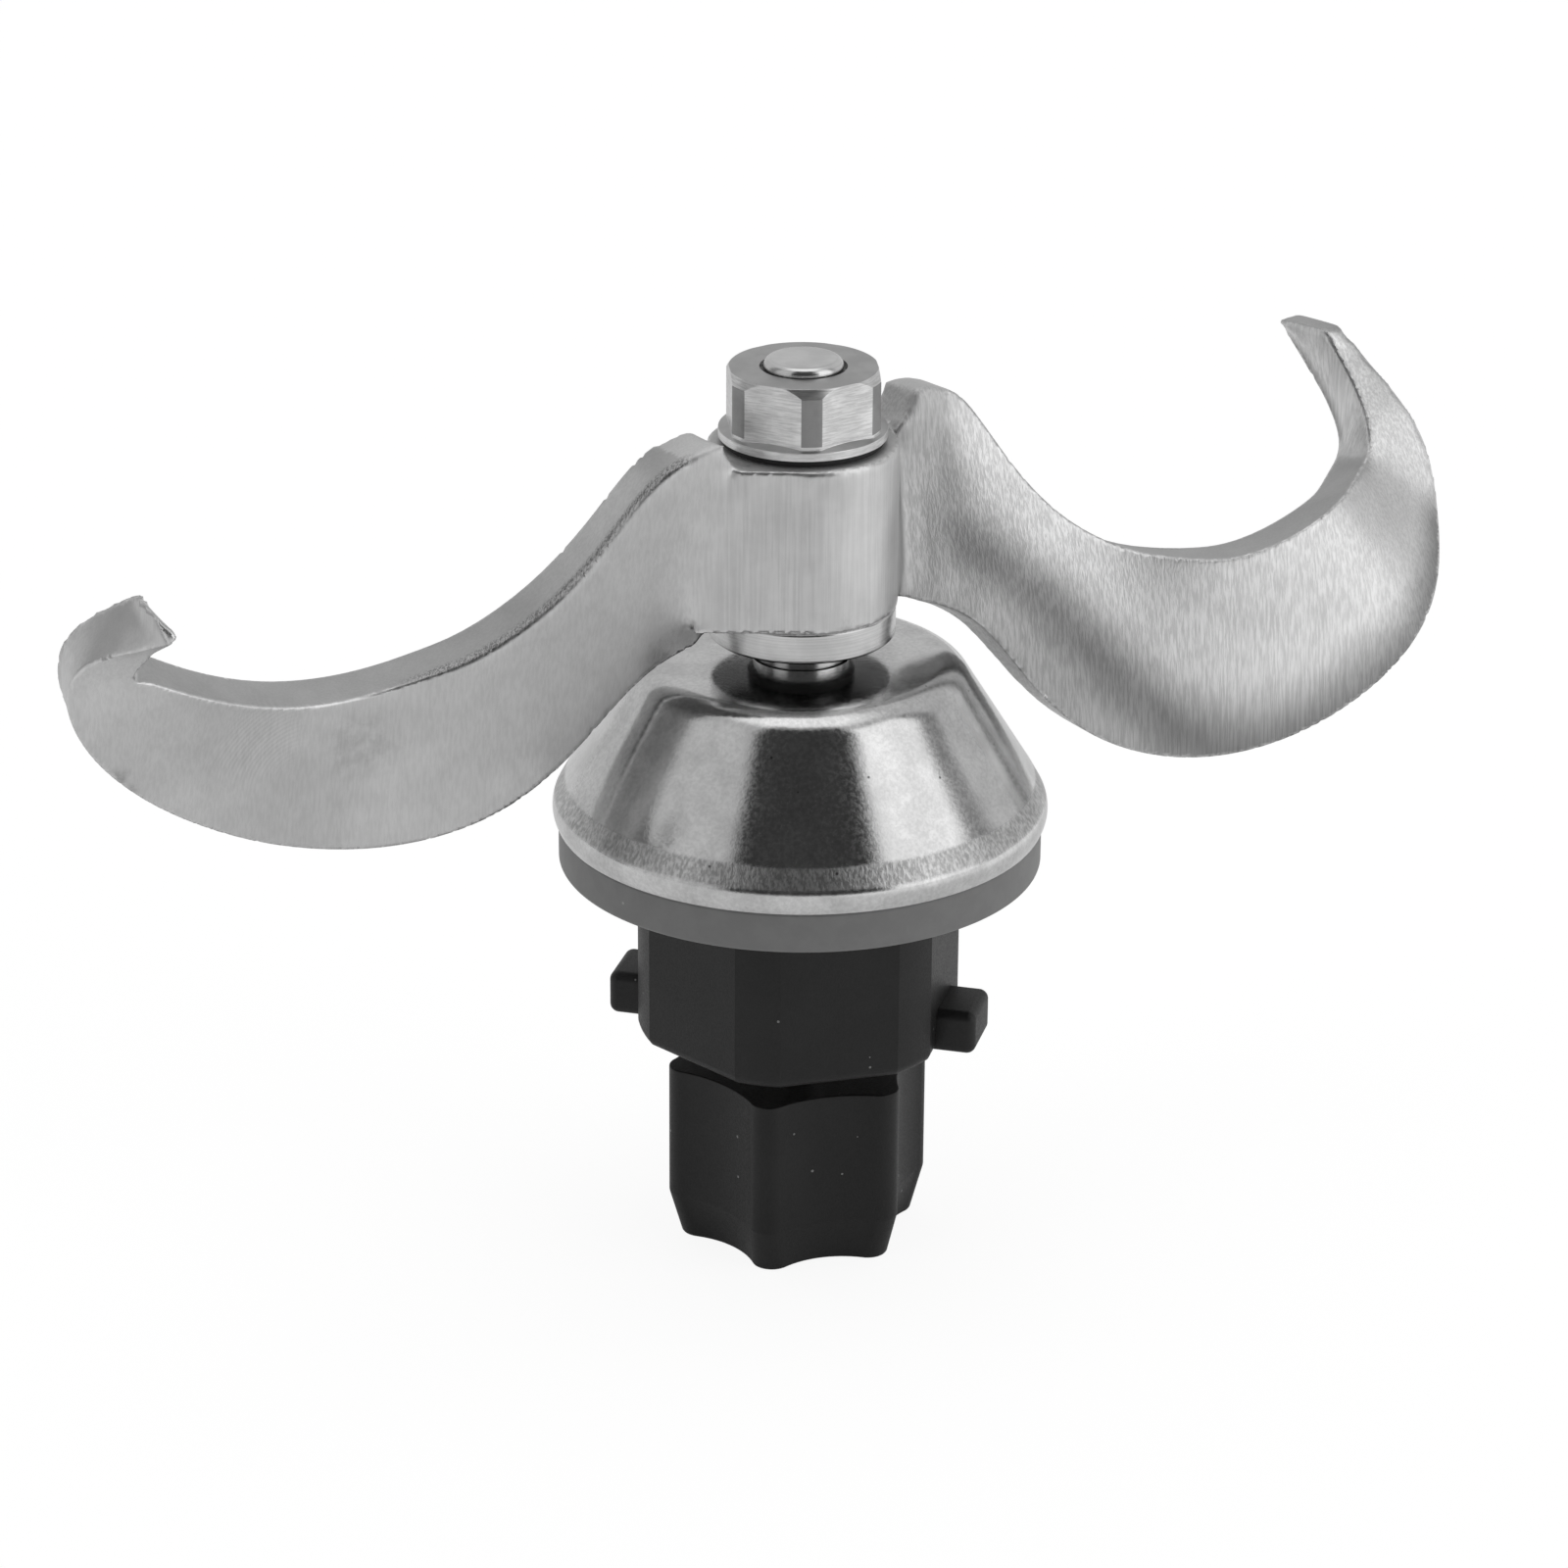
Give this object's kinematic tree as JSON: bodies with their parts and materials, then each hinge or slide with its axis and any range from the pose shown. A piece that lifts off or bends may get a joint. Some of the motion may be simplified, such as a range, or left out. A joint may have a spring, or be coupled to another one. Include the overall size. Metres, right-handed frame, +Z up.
{
  "type": "food processor blade",
  "caption": "S-shaped cast mixing and cutting blade on a spindle that turns in a domed bearing housing with a bayonet lock and a star drive coupling.",
  "frame": {"origin": "on the spindle's axis, at the foot of the star drive coupling", "axes": "+Z up the spindle towards the nut; the bayonet lugs point along +X and -X"},
  "size_m": [0.1095, 0.1004, 0.0879],
  "materials": {
    "blade_steel": "satin, drawn grain along the arms",
    "nut_steel": "satin, milled flats",
    "turned_steel": "bright turned",
    "cover_steel": "polished",
    "bearing_steel": "ground",
    "seal_silicone": "matte",
    "black_rubber": "matte",
    "black_plastic": "matte, moulded",
    "cage_plastic": "matte"
  },
  "bodies": {
    "housing": {"lock_body": "black_plastic", "dome_cover": "cover_steel", "bowl_seal_ring": "seal_silicone", "cover_o_ring": "black_rubber", "shaft_seal_case": "bearing_steel", "shaft_seal_lip": "black_rubber", "seal_garter_spring": "bearing_steel", "upper_outer_ring": "bearing_steel", "lower_outer_ring": "bearing_steel", "outer_spacer": "bearing_steel", "bearing_clip": "bearing_steel"},
    "rotor": {"spindle_shaft": "turned_steel", "blade_casting": "blade_steel", "flange_nut": "nut_steel", "nut_gasket": "black_rubber", "hub_collar": "turned_steel", "collar_o_ring": "black_rubber", "upper_inner_ring": "bearing_steel", "lower_inner_ring": "bearing_steel", "inner_spacer": "bearing_steel", "shaft_clip": "bearing_steel", "drive_coupling": "black_plastic", "coupling_pin": "bearing_steel", "coupling_washer": "turned_steel", "coupling_screw": "turned_steel"},
    "upper_cage_set": {"upper_cage": "cage_plastic", "upper_balls": "bearing_steel"},
    "lower_cage_set": {"lower_cage": "cage_plastic", "lower_balls": "bearing_steel"}
  },
  "joints": [
    {"name": "blade_spin", "type": "hinge", "parent": "housing", "child": "rotor", "pos_m": [0, 0, 0], "axis": [0, 0, 1], "continuous": true},
    {"name": "upper_cage_spin", "type": "hinge", "parent": "housing", "child": "upper_cage_set", "pos_m": [0, 0, 0], "axis": [0, 0, 1], "continuous": true},
    {"name": "lower_cage_spin", "type": "hinge", "parent": "housing", "child": "lower_cage_set", "pos_m": [0, 0, 0], "axis": [0, 0, 1], "continuous": true}
  ],
  "couplings": [
    {"joint": "upper_cage_spin", "follows": "blade_spin", "ratio": 0.3706},
    {"joint": "lower_cage_spin", "follows": "blade_spin", "ratio": 0.3706}
  ]
}
